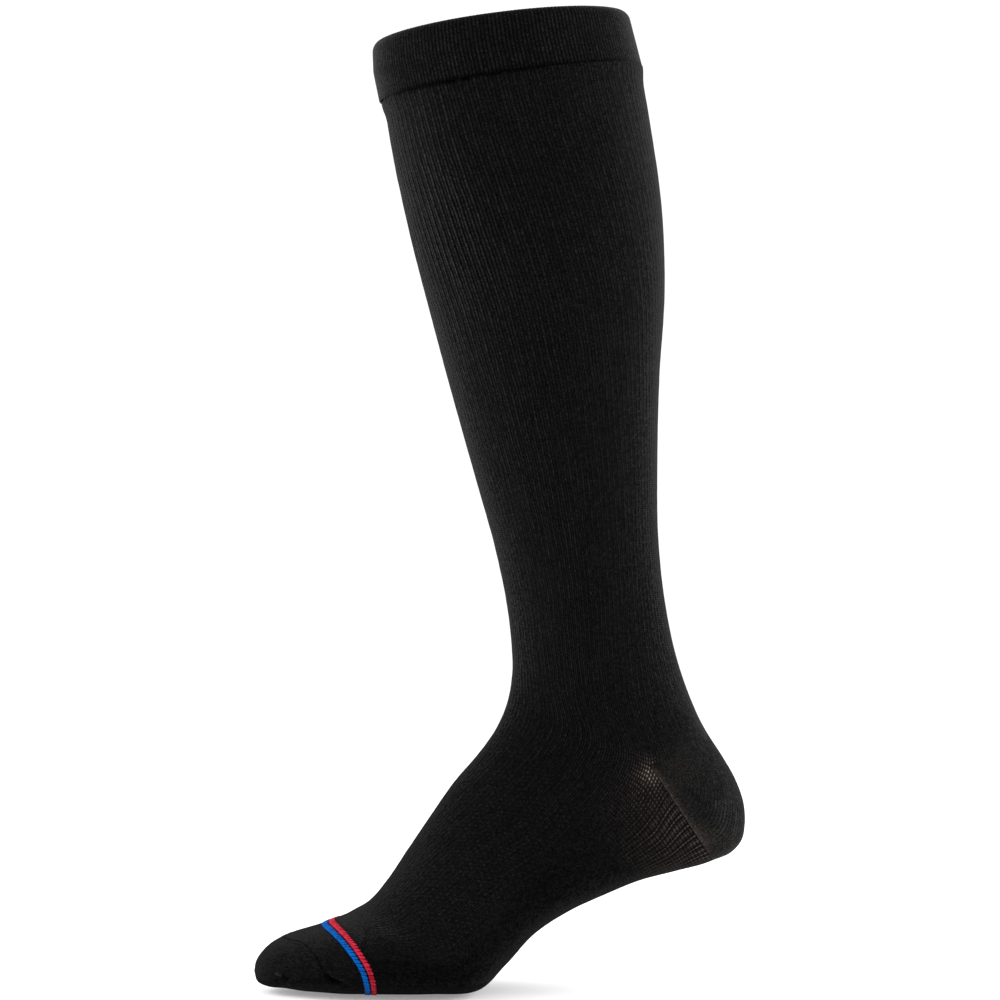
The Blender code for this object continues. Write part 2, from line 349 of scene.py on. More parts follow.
def rib_height(ribs, places):
    """The relief of raised and sunk wales, 0 to 1, narrow at their crests."""
    nearest = nearest_whole(ribs)
    off = np.abs(ribs - nearest) * 2
    long = value_noise(11, RIBS, 9.0, nearest, places)
    short = value_noise(12, RIBS, 3.2, nearest, places)
    raised = hill(off, 0.33) * (0.80 + 0.10 * long + 0.26 * short)
    return raised + hill(1 - off, 0.30) * 0.26


def rib_wander(ribs, places):
    """How far the ribs stray sideways, in millimetres."""
    nearest = nearest_whole(ribs)
    neighbour = np.where(ribs >= nearest, nearest + 1, nearest - 1)
    share = np.abs(ribs - nearest)
    own, other = (value_noise(21, RIBS, 7.0, rib, places) for rib in (nearest, neighbour))
    return 0.28 * (own * (1 - share) + other * share)


# The stripes: where they start and end down the foot, and how far they bow on their way round
RED_PLACE = FOOT_PLACES[RED_START] + 0.7
BLUE_PLACE = FOOT_PLACES[BLUE_START] + 0.1
TOE_PLACE = FOOT_PLACES[TOE_START] - 0.4
BOW = (
    (0.0, 0.1, 0.2, 0.29, 0.36, 0.42, 0.47, 0.52, 0.57, 0.62, 0.72, 1.0),
    (-0.1, -0.6, -1.1, -1.0, -0.6, 0.1, 0.7, 1.0, 0.7, 0.1, -0.6, -0.4),
)


def bow(turns):
    """How far down the foot the stripes lie at these turns, past their mean place."""
    fine = np.linspace(0.0, 1.0, 201)
    values = np.pad(np.interp(fine, *BOW), 6, mode="reflect")
    soft = np.convolve(values, np.hanning(15)[1:-1] / 7.0, "valid")
    return np.interp(side_share(turns), fine, soft)


# ---- meshes


def add_object(name, data, place=(0.0, 0.0, 0.0), heading=None):
    """A new object in the scene, at this place and looking along this heading."""
    thing = bpy.data.objects.new(name, data)
    thing.location = place
    if heading is not None:
        thing.rotation_euler = Vector(heading).to_track_quat("-Z", "Y").to_euler()
    bpy.context.scene.collection.objects.link(thing)
    return thing


class Shell:
    """Collects a piece's points and faces, with two UV maps and named values on its points.

    The value "kind" is the number of the material on the faces that start at the point."""

    NAMES = ("rib", "bead", "sheer", "fan", "kind", "tone")

    def __init__(self):
        self.points, self.faces, self.facing, self.count = [], [], [], 0
        self.values = {name: [] for name in self.NAMES}

    def add_points(self, grid, facing=None, **values):
        """Adds a grid of points, with their normals and values, and returns their numbers."""
        shape = grid.shape[:2]
        self.points.append(grid.reshape(-1, 3))
        if facing is not None:
            self.facing.append(facing.reshape(-1, 3))
        for name in self.NAMES:
            self.values[name].append(np.broadcast_to(values.get(name, 0.0), shape).ravel())
        start, self.count = self.count, self.count + shape[0] * shape[1]
        return np.arange(start, self.count).reshape(shape)

    def add_grid(self, index, wale, course, band, cyclic=True, flip=False):
        """A grid's quads. wale has one more value than the columns of a closed grid has points."""
        if cyclic:
            index = np.concatenate((index, index[:, :1]), axis=1)
        rows, columns = index.shape
        across, up = np.linspace(0.002, 0.998, columns), np.linspace(*band, rows)[:, None]
        corners = [(0, 0), (1, 0), (1, 1), (0, 1)]
        if flip:
            corners = corners[::-1]
        quads = []
        for grid in (index, wale, course[:, None], across, up):
            grid = np.broadcast_to(grid, index.shape)
            parts = [grid[r : rows - 1 + r, c : columns - 1 + c].ravel() for r, c in corners]
            quads.append(np.stack(parts, axis=1))
        self.faces.append((quads[0], np.stack(quads[1:3], axis=2), np.stack(quads[3:], axis=2)))

    def add_rim(self, outer, inner, wale, course, band, cyclic=True, flip=False):
        """Joins an outer row to an inner one that has fewer steps by a whole number of times."""
        if cyclic:
            outer, inner = np.append(outer, outer[0]), np.append(inner, inner[0])
        count = len(inner) - 1
        times = (len(outer) - 1) // count
        steps = np.arange(count)[:, None]
        corners = np.arange(times + 1)
        index = (outer[steps * times + corners], inner[steps + 1], inner[steps])
        index = np.concatenate(index, axis=1)
        share = np.r_[corners, times, 0] / times
        low, high = wale[steps * times], wale[(steps + 1) * times]
        inwards = np.broadcast_to(np.arange(times + 3) > times, index.shape)
        knit = np.stack((low + share * (high - low), course + PLY * inwards), axis=2)
        bake = np.stack(((steps + share) / count, np.where(inwards, *band[::-1])), axis=2)
        if flip:
            index, knit, bake = index[:, ::-1], knit[:, ::-1], bake[:, ::-1]
        self.faces.append((index, knit, bake))

    def make(self, name, *materials, weld=False):
        """The finished object, riding on the stocking's one body."""

        def put(data, name, values, kind=np.float32):
            data.foreach_set(name, values.astype(kind).ravel())

        points = np.concatenate(self.points) * MM
        sizes = np.concatenate([np.full(len(i), i.shape[1]) for i, _, _ in self.faces])
        loops = np.concatenate([i.ravel() for i, _, _ in self.faces])
        starts = np.r_[0, np.cumsum(sizes)[:-1]]
        mesh = bpy.data.meshes.new(name)
        mesh.vertices.add(len(points))
        put(mesh.vertices, "co", points)
        mesh.loops.add(len(loops))
        put(mesh.loops, "vertex_index", loops, np.int32)
        mesh.polygons.add(len(sizes))
        put(mesh.polygons, "loop_start", starts, np.int32)
        mesh.update(calc_edges=True)
        for layer, part in (("knit", 1), ("OFBake", 2)):
            uv = np.concatenate([face[part].reshape(-1, 2) for face in self.faces])
            put(mesh.uv_layers.new(name=layer).data, "uv", uv)
        for value in self.NAMES:
            data = mesh.attributes.new(value, "FLOAT", "POINT").data
            put(data, "value", np.concatenate(self.values[value]))
        mesh.polygons.foreach_set("use_smooth", sizes == 4)  # the rims are flat
        for material in materials:
            mesh.materials.append(material)
        if len(materials) > 1:
            kind = np.concatenate(self.values["kind"])[loops[starts]]
            put(mesh.polygons, "material_index", kind, np.int32)
        source = mesh.attributes.new("source", "INT", "POINT")
        put(source.data, "value", np.arange(len(points)), np.int32)
        mesh.validate()
        if weld:
            work = bmesh.new()
            work.from_mesh(mesh)
            bmesh.ops.remove_doubles(work, verts=work.verts, dist=WELD_DISTANCE)
            work.to_mesh(mesh)
            work.free()
        kept = np.empty(len(mesh.vertices), dtype=np.int32)
        mesh.attributes["source"].data.foreach_get("value", kept)
        mesh.attributes.remove(mesh.attributes["source"])
        if self.facing:
            facing = np.concatenate(self.facing)[kept]
            mesh.normals_split_custom_set_from_vertices(facing.tolist())
        thing = add_object(name, mesh)
        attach(thing, "root")
        return thing


def thin(grid, row_step, column_step):
    """Every so many rows, always with the last, and every so many columns."""
    rows = np.unique(np.append(np.arange(0, len(grid), row_step), len(grid) - 1))
    return grid[rows][:, ::column_step], rows


def shell_from(
    outer, inner, places, wales, values, facing=None, steps=INSIDE_STEPS, cyclic=True, cap=False
):
    """A stretch of knit: its outside, a coarser inside, and the rims that join them.

    A cap closes on its tip, so it has no last rim, and its hidden inside has no values."""
    shell = Shell()
    inner, rows = thin(inner, *steps)
    inwards = None if facing is None else -thin(facing, *steps)[0]
    inside = {} if cap else {name: thin(value, *steps)[0] for name, value in values.items()}
    out = shell.add_points(outer, facing, **values)
    ins = shell.add_points(inner, inwards, **inside)
    shell.add_grid(out, wales, places, OUTSIDE, cyclic)
    shell.add_grid(ins, wales[:: steps[1]], places[rows], INSIDE, cyclic, flip=True)
    shell.add_rim(out[0], ins[0], wales, places[0], FIRST_RIM, cyclic, flip=True)
    if not cap:
        shell.add_rim(out[-1], ins[-1], wales, places[-1], LAST_RIM, cyclic)
    return shell


# ---- materials


class Value:
    """A number or colour from one of a material's nodes. Sums with it make more nodes."""

    def __init__(self, nodes, socket):
        self.nodes, self.socket = nodes, socket

    def __rsub__(self, other):
        return self.nodes.math("SUBTRACT", other, self)

    def clamped(self):
        """This sum, kept between 0 and 1."""
        self.socket.node.use_clamp = True
        return self


def sum_with(operation):
    return lambda first, second: first.nodes.math(operation, first, second)


Value.__add__, Value.__sub__ = sum_with("ADD"), sum_with("SUBTRACT")
Value.__mul__, Value.__truediv__ = sum_with("MULTIPLY"), sum_with("DIVIDE")
Value.__pow__ = sum_with("POWER")


class Nodes:
    """Builds a material's nodes by short calls."""

    def __init__(self, name):
        self.material = bpy.data.materials.new(name)
        self.material.use_nodes = True
        self.tree = self.material.node_tree

    def feed(self, socket, value):
        """Gives a socket a value, a number or the three parts of a colour."""
        if isinstance(value, Value):
            self.tree.links.new(value.socket, socket)
        else:
            socket.default_value = (*value, 1.0) if isinstance(value, tuple) else value

    def shade(self, inputs):
        """Sets these inputs of the shader, and returns the material."""
        for name, value in inputs.items():
            self.feed(self.tree.nodes["Principled BSDF"].inputs[name], value)
        return self.material

    def take(self, output, kind, inputs=(), **settings):
        """An output of a new node that has these inputs, by their numbers or names."""
        node = self.tree.nodes.new(kind)
        for setting in settings.items():
            setattr(node, *setting)
        for name, value in dict(inputs).items():
            self.feed(node.inputs[name], value)
        return Value(self, node.outputs[output])

    def math(self, operation, *values):
        return self.take(0, "ShaderNodeMath", enumerate(values), operation=operation)

    def mix(self, factor, first, second):
        return self.take(2, "ShaderNodeMix", {0: factor, 6: first, 7: second}, data_type="RGBA")

    def value(self, name):
        return self.take("Fac", "ShaderNodeAttribute", attribute_name=name)

    def span(self, value, low, high, to_low, to_high):
        numbers = enumerate((value, low, high, to_low, to_high))
        return self.take(0, "ShaderNodeMapRange", numbers, interpolation_type="SMOOTHSTEP")

    def graded(self, noise, low, high):
        """Noise, which mostly lies from 0.3 to 0.7, as values from low to high."""
        return self.span(noise, 0.3, 0.7, low, high)

    def noise(self, scale, detail, roughness):
        where = self.take("Object", "ShaderNodeTexCoord")
        inputs = {"Vector": where, "Scale": scale, "Detail": detail, "Roughness": roughness}
        return self.take("Fac", "ShaderNodeTexNoise", inputs)

    def vector(self, x, y):
        return self.take(0, "ShaderNodeCombineXYZ", {0: x, 1: y})

    def along(self, wale, place, spacing, shift, low, high):
        """Values from low to high that are smooth down each wale, and new on the next."""
        where = self.vector(wale * 7.31 + shift, place / spacing)
        inputs = {"Vector": where, "Scale": 1.0, "Detail": 0.0}
        noise = self.take("Fac", "ShaderNodeTexNoise", inputs, noise_dimensions="2D")
        return self.graded(noise, low, high)


def pattern(nodes):
    """The knit at each place: its wale, the place, the wale's middle and how far that is, how
    much the stitch rises there, and a random number for each stitch."""
    where = nodes.take(0, "ShaderNodeUVMap", uv_map="knit")
    wale = nodes.take(0, "ShaderNodeSeparateXYZ", {0: where})
    place = Value(nodes, wale.socket.node.outputs[1])
    cell = nodes.math("FLOOR", wale + 0.5)
    off = nodes.math("ABSOLUTE", wale - cell) * 2.0
    slant = place - off * 0.9
    wave = nodes.math("SINE", slant * (2 * np.pi))
    stitch = (wave * 1.4 + 2.6) * ((1.0 - off) * off)
    spot = nodes.vector(cell, nodes.math("FLOOR", slant))
    each = nodes.take("Value", "ShaderNodeTexWhiteNoise", {"Vector": spot}, noise_dimensions="2D")
    return wale, place, cell, off, stitch, nodes.span(each, 0.0, 1.0, 0.5, 1.25)


def knit_material(
    name, dark, light, sheen, bump, rib=0.0, wales=0.8, stitch=0.4, grit=0.6, lift=1.0,
    sheer=False, warm=False,
):
    """Knit cloth: stitches in the bump, raised wales lighter and sunk ones darker, partly yarn
    colour and partly painted shade of the relief, and a soft sheen.

    rib, wales and stitch are the lightness of ribs, of plain wales and of single stitches, grit
    is how uneven it is, and lift how much lighter a raised tone gets."""
    nodes = Nodes(name)
    wale, place, cell, off, rise, each = pattern(nodes)
    grain = nodes.noise(900.0, 3.0, 0.6)
    cloud = nodes.graded(nodes.noise(70.0, 1.0, 0.5), 0.95, 1.05)
    fine = nodes.noise(1700.0, 1.0, 0.5)
    fuzz = nodes.graded(fine, 1 - grit, 1 + grit)
    streak = nodes.along(cell, place, 5.0, 0.0, 0.72, 1.0)
    dash = nodes.along(cell, place, 1.3, 31.7, 0.62, 1.15)
    lines = streak * dash * nodes.along(cell, place, 34.0, 77.1, 0.78, 1.12)
    relief = rise * each
    plain = relief * stitch
    shown = nodes.value("rib")
    if rib:
        turn = nodes.math("COSINE", wale * np.pi) * 0.5
        up, down = (turn + 0.5).clamped(), (0.5 - turn).clamped()
        beads = nodes.math("SINE", (wale * 0.25 + place / 2.6) * (2 * np.pi))
        crest = up**6.0 * (beads * nodes.value("bead") + 1.0)
        both = (down**6.0 * 0.6 + crest) * lines * shown
        plain = both * rib + plain * (shown * -0.45 + 0.9)
    else:
        plain = plain + lines * shown * wales * (1.0 - off) ** 2.0
    lit = (plain + 0.03) * cloud * fuzz * nodes.graded(grain, 0.8, 1.15)
    colour = nodes.mix(lit.clamped(), dark, light)
    if sheer:
        through, fan = nodes.value("sheer"), nodes.value("fan")
        wave = nodes.math("SINE", place * (2 * np.pi / 1.6))
        spots = nodes.span(wave, -0.2, 0.9, 0.1, 1.0) * (1.0 - off) ** 3.0 * each * through
        wide = wale * (2 / 3)
        strand = nodes.math("FLOOR", wide + 0.5)
        apart = nodes.math("ABSOLUTE", wide - strand)
        thread = (1.0 - apart * 2.0) ** 8.0 * nodes.along(strand, place, 4.0, 11.3, 0.45, 1.0)
        thread = thread * nodes.span(wave, -0.8, 0.8, 0.3, 1.0) * fan * 0.62
        colour = nodes.mix(fan * 0.5, colour, dark)
        colour = nodes.mix(through * 0.05, colour, (0.15, 0.110, 0.090))
        colour = nodes.mix(fan * 0.010, colour, (0.15, 0.118, 0.098))
        colour = nodes.mix(spots.clamped(), colour, (0.27, 0.205, 0.18))
        colour = nodes.mix(thread.clamped(), colour, (0.165, 0.143, 0.126))
    if warm:
        through = nodes.value("sheer") * nodes.graded(grain, 0.3, 1.0) * fuzz
        colour = nodes.mix(through.clamped(), colour, (0.055, 0.041, 0.033))
    # The tone value paints light and shade: below 0 it darkens towards near black, above 0 it
    # lightens. It carries painted shade, painted highlights and the seams' dark lines.
    tone = nodes.value("tone")
    colour = nodes.mix((tone * -1.0).clamped(), colour, (0.0002, 0.0002, 0.0002))
    raised = tuple(lift * part for part in light)
    colour = nodes.mix((tone * 0.6).clamped(), colour, raised)
    relief = fine * 0.25 + (grain * 0.12 + relief)
    bumps = {"Strength": 1.0, "Distance": bump * MM, "Height": relief}
    return nodes.shade({
        "Base Color": colour, "Roughness": nodes.graded(grain, 0.52, 0.68),
        "Normal": nodes.take(0, "ShaderNodeBump", bumps), "Metallic": 0.0,
        "Specular IOR Level": 0.0, "Sheen Weight": sheen, "Sheen Roughness": 0.32,
        "Sheen Tint": (1.0, 1.0, 1.0),
    })


DARK, LIGHT = (0.0004,) * 3, (0.0176,) * 3


def rib_material(name, sheen, grit=0.6):
    return knit_material(name, DARK, LIGHT, sheen, bump=0.12, rib=0.40, grit=grit, sheer=True)


BLACK = rib_material("black_rib_knit", 0.106)
# Shaded copies of the same knit, with less sheen in steps down the instep, on the sole and under
# the foot, so that these parts look less lit
INSTEP = [
    rib_material(f"black_instep_knit_{step}", sheen)
    for step, sheen in enumerate((0.084, 0.070, 0.056), 1)
]
SOLE = rib_material("black_sole_knit", 0.029, grit=0.7)
UNDER = rib_material("black_under_knit", 0.015, grit=0.7)
WELT = knit_material(
    "black_welt_knit", DARK, (0.0118,) * 3, 0.130, bump=0.1, wales=0.6, stitch=0.22
)
HEEL = knit_material("black_heel_knit", (0.0012,) * 3, (0.0228,) * 3, 0.06, bump=0.15, warm=True)
# The toe's plain knit, and a shaded copy of it with less sheen for its underside.
PLAIN, PLAIN_UNDER = (
    knit_material(name, (0.0003,) * 3, (0.0150,) * 3, sheen, bump=0.12, grit=0.75, lift=2.4)
    for name, sheen in (("black_plain_knit", 0.040), ("black_toe_under_knit", 0.018))
)
RED, BLUE = (
    knit_material(name, dark, light, 0.05, bump=0.08, stitch=1.2, grit=0.5)
    for name, dark, light in (
        ("red_knit", (0.16, 0.002, 0.008), (0.51, 0.027, 0.054)),
        ("blue_knit", (0.001, 0.034, 0.16), (0.004, 0.104, 0.395)),
    )
)


# ---- pieces


def place_steps(first, last, step):
    """Places from first to last, about step apart."""
    return np.linspace(first, last, max(2, int(round((last - first) / step)) + 1))


def columns_of(count):
    """The turns of a ring's columns, without the last one, which is the first again."""
    return np.arange(count) / count


RIB_RISE = 0.22
RIB_MIDDLE = 0.33  # the share of a rib's height that lies on the smooth surface
GORE_EDGE = 0.64  # where the ribs end beside the gore, as a share of the way from front to back


def ribbed_tube(surface, rows, twist, gone, from_gore):
    """A ribbed tube's distances down, ribs, turns, points and outward normals.

    twist is the wales' turning at places down the tube, gone the length of knit before it, and
    from_gore each row's distance from the gore, where the ribs don't stray."""
    points, normals = with_normals(surface, rows)
    girth = length(np.diff(points, axis=1)).sum(axis=1)[:, None]
    columns = columns_of(RIBS * PER_RIB)
    ribs = np.broadcast_to(columns * RIBS, (len(rows), len(columns)))
    down = np.broadcast_to(rows[:, None], ribs.shape)
    turns = columns - np.interp(rows, *twist)[:, None] / girth
    stray = rib_wander(ribs, down + gone) / girth
    turns += stray * ease(0.0, 12.0, from_gore)[:, None]
    return down, ribs, turns, sample(points, turns), unit(sample(normals, turns))


def ribbed_shell(rows, gone, base, outwards, height, values):
    """The shell of a ribbed tube with its relief, without the rows past its ends."""
    outer = base + outwards * height[..., None]
    inner = outer - outwards * PLY
    values = {name: value[1:-1] for name, value in values.items()}
    wales = np.arange(RIBS * PER_RIB + 1) / PER_RIB * 2
    facing = relief_normals(outer, rows)
    return shell_from(outer[1:-1], inner[1:-1], rows[1:-1] + gone, wales, values, facing)


def make_leg():
    """The ribbed tube from under the welt to the ankle and the heel pocket."""
    rows = with_ends(np.r_[-2.2, -1.1, 0.0, 0.9, 1.8, place_steps(3.2, LEG_END, 3.1)])
    twist = (LEG_PLACES, LEG_TWIST)
    down, ribs, turns, base, outwards = ribbed_tube(leg_surface, rows, twist, 0.0, LEG_END - rows)
    left = LEG_END - down
    side = side_share(turns)
    behind = ease(0.40, 0.68, side)
    ahead = ease(0.26, 0.14, side)
    # Painted light in the rib value, which also scales the relief: ribs lighter on the front of
    # the calf and towards its front and back edges, weaker behind and in the middle, as the side
    # light falls.
    mask = (1 + 1.3 * hill(side - 0.24, 0.14) * hill(down - 75.0, 42.0)) * (1 - 0.3 * behind)
    mask *= 1 - 0.2 * hill(side - 0.5, 0.15) * ease(230.0, 150.0, down)
    upper = hill(down - 45.0, 45.0)
    painted_rim_light = ease(0.12, 0.3, np.abs(side - 0.5)) * upper
    mask *= 1 + 0.35 * painted_rim_light
    mask *= 1 - 0.6 * ease(0.70, 0.85, side) * ease(30.0, 8.0, left)
    gore = ease(-0.03, 0.03, GORE_EDGE - side) * (1 - 0.3 * behind)
    mask += (gore - mask) * ease(12.0, 0.0, left)
    flush = np.maximum(ahead, behind)
    under = ease(-1.0 - 0.6 * flush, 1.5 - 1.7 * flush, down)
    height = RIB_RISE * (rib_height(ribs, down) - RIB_MIDDLE) * mask * (0.4 + 0.6 * under)
    swell = 0.75 + 0.3 * behind + 0.5 * ahead
    height += swell * (1 - ease(0.0, 9.0, down)) * under
    # Painted shade in ragged dashes along the welt's seam at the top of the leg, fading at the
    # front edge and behind.
    knots = value_noise(51, RIBS, 40.0, nearest_whole(ribs), down)
    shown = ease(0.10, 0.22, side) * (1 - 0.8 * behind)
    tone = -(0.5 + 0.5 * knots) * (1 - ease(0.2, 1.6, down)) * shown
    tone += 0.15 * ease(14.0, 0.0, left) * ease(GORE_EDGE, 0.8, side)
    # Painted rim light towards the calf's front and back edges, and painted shade over the upper
    # calf.
    tone += (0.2 * painted_rim_light - 0.1 * upper) * under
    values = {"rib": mask, "tone": tone + bend_shade(base), "sheer": sheer_share(base, side)[0]}
    shell = ribbed_shell(rows, 0.0, base, outwards, height, values)
    leg = shell.make("leg_knit", BLACK)
    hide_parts("leg")
    return leg


# The gore line on the plane X = 0, from its upper end, and the way across it
APEX = np.array((0.0, 70.0, -355.5))
SUTURE = unit(np.array((0.0, 97.4, -397.0)) - APEX)
ASIDE = np.array((0.0, SUTURE[2], -SUTURE[1]))
WITHOUT_X = (0.0, 1.0, 1.0)


def mirrored_side(points):
    """The points without their X, and 1 for those well out on either side."""
    return points * WITHOUT_X, ease(8.0, 16.0, np.abs(points[..., 0]))


def bend_shade(points):
    """Painted shade in the hollow of the ankle's bend."""
    return -0.28 * hill(length(points * WITHOUT_X - (0.0, 20.0, -341.0)), 30.0)


def sheer_share(points, side):
    """How far the knit is stretched open near the gore, in holes and in a fan of threads."""
    flat, out = mirrored_side(points)
    near = length(flat - APEX - (0.0, 0.8, -4.0))
    run, aside = (flat - APEX) @ SUTURE, (flat - APEX) @ ASIDE
    hot = (hill(near, 4.0) + 0.20 * hill(near, 9.0)) * ease(-5.0, -1.0, aside)
    below = ease(0.50, 0.58, side) * (1 - ease(30.0, 44.0, aside))
    wash = 0.12 * hill(aside, 26.0) * ease(-6.0, 8.0, run)
    fan = np.exp(-np.maximum(aside, 0) / 20.0) * ease(12.0, 30.0, run)
    fade = 0.35 + 0.65 * out
    return np.clip((hot + wash * below) * fade, 0, 1), np.clip(fan * below * fade, 0, 1)


# Where the sole's plain knit starts at each of the foot's places, as GORE_EDGE does
SOLE_EDGES = (GORE_EDGE, 0.60, 0.56, 0.57, 0.58, 0.59, 0.58, 0.55, 0.50, 0.45)
FOOT_STARTS, RIBS_END = FOOT_PLACES[: len(SOLE_EDGES)], FOOT_PLACES[8]
SOLE_KIND, UNDER_KIND = 4, 5


def make_foot():
    """The ribbed instep and plain sole, from the ankle and the gore to the red stripe."""
    end = RED_PLACE
    rows = with_ends(np.r_[place_steps(0.0, end, 1.9), end + 0.9])
    twist = (FOOT_STARTS, FOOT_TWIST)
    down, ribs, turns, base, outwards = ribbed_tube(foot_surface, rows, twist, LEG_END, rows)
    drift = np.gradient(base, rows, axis=0)
    base += drift * (bow(turns) * ease(end - 14.0, end, down))[..., None]
    side = side_share(turns)
    edge = np.interp(rows, FOOT_STARTS, SOLE_EDGES)[:, None]
    far = ease(0.0, 25.0, down)
    strength = (1 - 0.3 * far) * (1 - 0.3 * ease(0.40, 0.68, side) * (1 - far))
    ribbed = ease(-0.03, 0.03, edge - side) * ease(0.0, 3.0, RIBS_END - down) * strength
    height = RIB_RISE * (rib_height(ribs, down + LEG_END) - RIB_MIDDLE) * ribbed
    height += np.where(rows > end + 0.1, -0.35, 0.0)[:, None]
    # The materials' stretches have ragged edges
    nearest = nearest_whole(ribs)
    sole = np.where(side > edge + 0.03, 1.0, 0.0)
    ragged = value_noise(71, RIBS, 40.0, nearest, down)
    kind = np.clip(np.floor((down + 9.0 * ragged + 8.0) / 18.0), 0, len(INSTEP))
    kind = np.where(sole > 0, SOLE_KIND, kind)
    short = value_noise(72, RIBS, 3.0, nearest, down)
    low = (base[..., 2] < -459.0) & (outwards[..., 2] + 0.25 * short < -0.25)
    kind = np.where(low, UNDER_KIND, kind)
    tone = bend_shade(base)
    # Painted shade: darker on the faces that turn downwards, over the middle of the foot and on
    # the sole.
    tone -= 0.25 * ease(0.0, -0.8, outwards[..., 2]) * ease(60.0, 85.0, down)
    tone -= 0.17 * hill(down - 60.0, 34.0) * (1 - 0.6 * sole)
    tone -= 0.22 * sole * ease(36.0, 66.0, down)
    bead = 0.7 * ease(8.0, 40.0, down)
    sheer, fan = sheer_share(base, side)
    values = {"rib": ribbed, "bead": bead, "sheer": sheer, "fan": fan, "kind": kind, "tone": tone}
    shell = ribbed_shell(rows, LEG_END, base, outwards, height, values)
    foot = shell.make("foot_knit", BLACK, *INSTEP, SOLE, UNDER)
    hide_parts("foot")
    return foot


def make_heel():
    """The plain knit heel pocket between the leg and the gore, with the gore's beaded seam."""
    rows = with_ends(place_steps(0.0, HEEL_LENGTH, 0.8))
    points, normals = with_normals(heel_surface, rows, cyclic=False)
    normals[:, 0], normals[:, -1] = normals[:, 1], normals[:, -2]
    first, last = 1 / 3, 2 / 3  # the turns that the pocket covers
    count = RIBS * PER_RIB // 3
    turns = np.broadcast_to(np.linspace(first, last, count + 1), (len(rows), count + 1))
    base = sample(points, turns, first, last)
    outwards = unit(sample(normals, turns, first, last))
    flat, out = mirrored_side(base)
    run = (flat - APEX) @ SUTURE
    down = np.broadcast_to(rows[:, None], turns.shape)
    edge = np.minimum(length(base - base[-2:-1]), HEEL_LENGTH - down)
    reach = ease(0.0, 4.0, run) * (1 - ease(46.0, 54.0, run)) * out
    wale = turns * WALES
    beads = 0.70 + 0.30 * np.cos(np.pi * wale)
    beads += 0.25 * value_noise(61, WALES, 60.0, nearest_whole(wale / 2), down)
    ridge = hill(edge, 1.2) * reach
    outer = base + outwards * (0.55 * ridge * beads)[..., None]
    warm = 0.08 * hill(length(flat - (0.0, 82.5, -359.5)), 9.0)
    warm = warm * ease(0.0, 7.0, down) + 0.06 * ease(-383.0, -391.0, base[..., 2])
    warm += 0.25 * hill(edge, 2.2 + 0.06 * run.clip(0)) * reach
    warm += 0.55 * hill(edge, 0.8) * reach * beads**2
    # Painted shade in a small hollow beside the gore's seam.
    offset = flat - (0.0, 91.0, -371.0)
    hollow = hill(offset @ SUTURE, 7.0) * hill(offset @ ASIDE, 2.6) * out
    back = length((flat - (0.0, 108.0, -382.0)) * (0.0, 1.0, 0.6))
    lines = 0.22 + 0.65 * hill(back, 6.5) * out
    values = {"rib": lines, "sheer": warm, "tone": 0.7 * ridge * beads - 0.2 * hollow}
    values = {name: value[1:-1] for name, value in values.items()}
    facing = relief_normals(outer, rows, cyclic=False)
    facing[:, 0], facing[:, -1] = facing[:, 1], facing[:, -2]
    wales = np.linspace(WALES * first, WALES * last, count + 1)
    inner, places = (base - outwards * PLY)[1:-1], rows[1:-1] + LEG_END
    shell = shell_from(outer[1:-1], inner, places, wales, values, facing, cyclic=False)
    heel = shell.make("heel_knit", HEEL, weld=True)
    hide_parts("heel")
    return heel


def plain_stretch(places, count):
    """The turns, points, outward normals and way down of the foot's surface at these places."""
    points, normals = with_normals(foot_surface, places)
    turns = np.broadcast_to(columns_of(count), (len(places), count))
    base = sample(points, turns)
    return turns, base, unit(sample(normals, turns)), np.gradient(base, places, axis=0)


